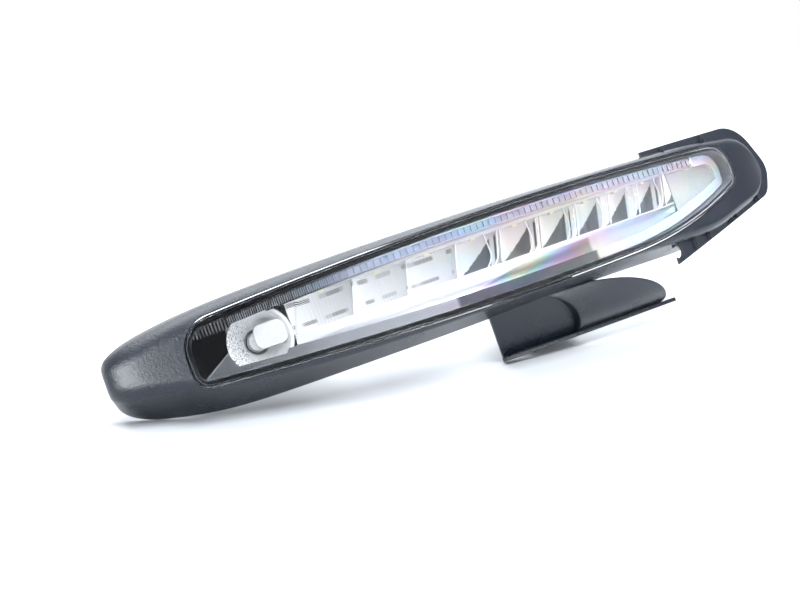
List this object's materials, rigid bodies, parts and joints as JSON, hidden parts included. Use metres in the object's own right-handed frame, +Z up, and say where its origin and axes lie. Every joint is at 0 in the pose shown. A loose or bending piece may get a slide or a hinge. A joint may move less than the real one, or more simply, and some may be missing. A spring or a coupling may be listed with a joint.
{
  "type": "daytime running light",
  "caption": "Swept corner running light: curved clear lens over a bright bowl and raked reflector cells, in a grained black surround with a flanged end and a lipped wing below.",
  "frame": {"origin": "on the table the lamp rests on, under the middle of its bounding box", "axes": "+X along the lamp towards its outer flanged end, +Y back from the lens, +Z up, in the attitude in which the lamp rests on its nose, wing lip and driver case"},
  "size_m": [0.441, 0.098, 0.1201],
  "materials": {
    "black_grained": "fine-grained black plastic",
    "clear_lens": "clear polished plastic",
    "sealant": "matte black sealant",
    "housing_black": "satin black plastic",
    "bezel_trim": "metallised along the row, gloss black at the inner end",
    "guide_clear": "clear light-guide plastic",
    "bright_reflector": "bright metallised plastic",
    "board_white": "white coated circuit board",
    "led_pale": "light-source package",
    "alloy": "bare formed aluminium",
    "screw_steel": "plated steel",
    "bulb_silvered": "silver-coated bulb glass",
    "connector_grey": "dark grey plastic",
    "contact_metal": "plated contacts and threaded brass"
  },
  "bodies": {
    "root": {"surround": "black_grained", "outer_lens": "clear_lens", "lens_seal": "sealant", "rear_housing": "housing_black", "housing_screws": "screw_steel", "inner_bezel": "bezel_trim", "light_guide": "guide_clear", "guide_led": "led_pale", "guide_led_board": "board_white", "cell_reflector": "bright_reflector", "end_reflector": "bright_reflector", "bowl_reflector": "bright_reflector", "led_board": "board_white", "cell_leds": "led_pale", "heat_sink": "alloy", "board_screws": "screw_steel", "turn_bulb": "bulb_silvered", "bulb_holder": "connector_grey", "holder_seal": "sealant", "driver_case": "housing_black", "driver_lid": "connector_grey", "driver_screws": "screw_steel", "connector_socket": "connector_grey", "connector_pins": "contact_metal", "vent_cap": "connector_grey", "mount_inserts": "contact_metal"}
  },
  "joints": []
}
